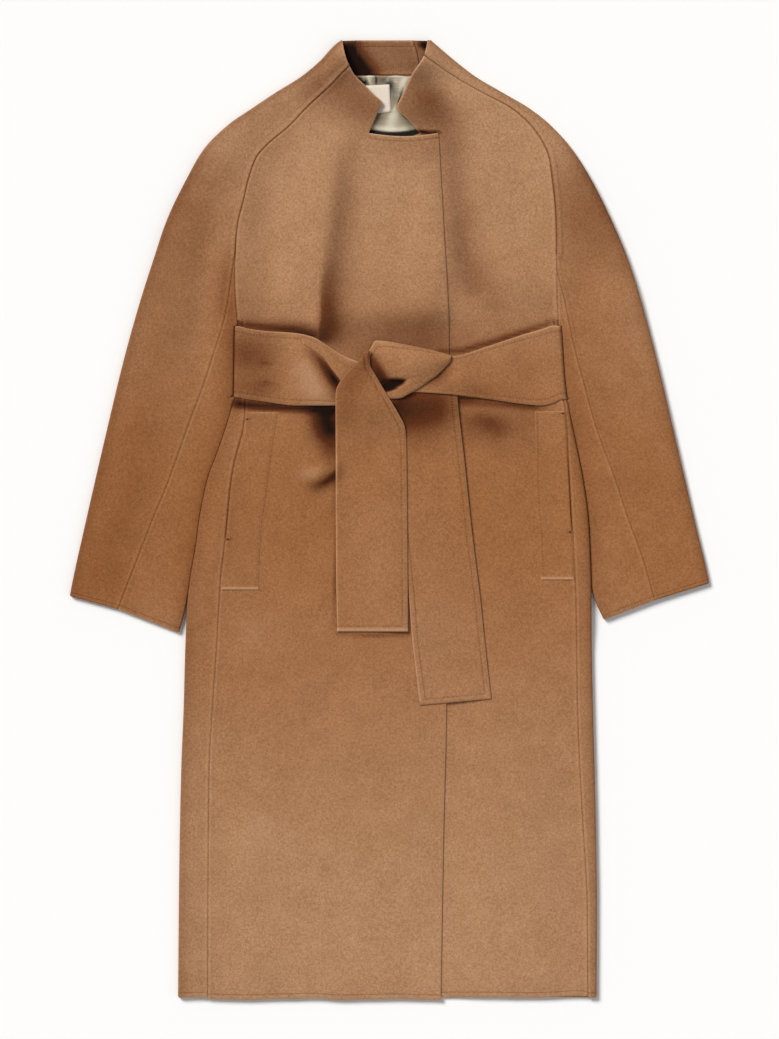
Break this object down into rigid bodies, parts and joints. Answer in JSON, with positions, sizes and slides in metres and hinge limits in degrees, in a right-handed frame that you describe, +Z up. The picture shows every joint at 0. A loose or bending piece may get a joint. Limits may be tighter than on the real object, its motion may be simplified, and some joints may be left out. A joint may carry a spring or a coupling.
{
  "type": "wool wrap coat",
  "caption": "Long wool wrap coat laid flat, with raglan sleeves, a cut-on stand collar, side welt pockets, a satin neck lining and its tie belt knotted at the waist.",
  "frame": {"origin": "on the surface that the coat lies on, under the middle of its outline", "axes": "+X across the coat towards the wearer's left sleeve, +Y along it towards the collar, +Z up from the surface through the back to the fronts"},
  "size_m": [0.7984, 1.2005, 0.03],
  "materials": {
    "wool": "matte felted camel wool with a short nap",
    "lining": "grey-olive satin",
    "label": "plain cream woven tape, bare"
  },
  "bodies": {
    "root": {"back": "wool", "front_right": "wool", "front_left": "wool", "collar_back": "wool", "sleeve_right_upper": "wool", "sleeve_left_upper": "wool", "sleeve_right_under": "wool", "sleeve_left_under": "wool", "pocket_right_welt": "wool", "pocket_left_welt": "wool", "lining": "lining", "label": "label", "belt_round": "wool", "belt_turn": "wool", "belt_loop": "wool", "belt_tail_front": "wool", "belt_tail_rear": "wool"}
  },
  "joints": []
}
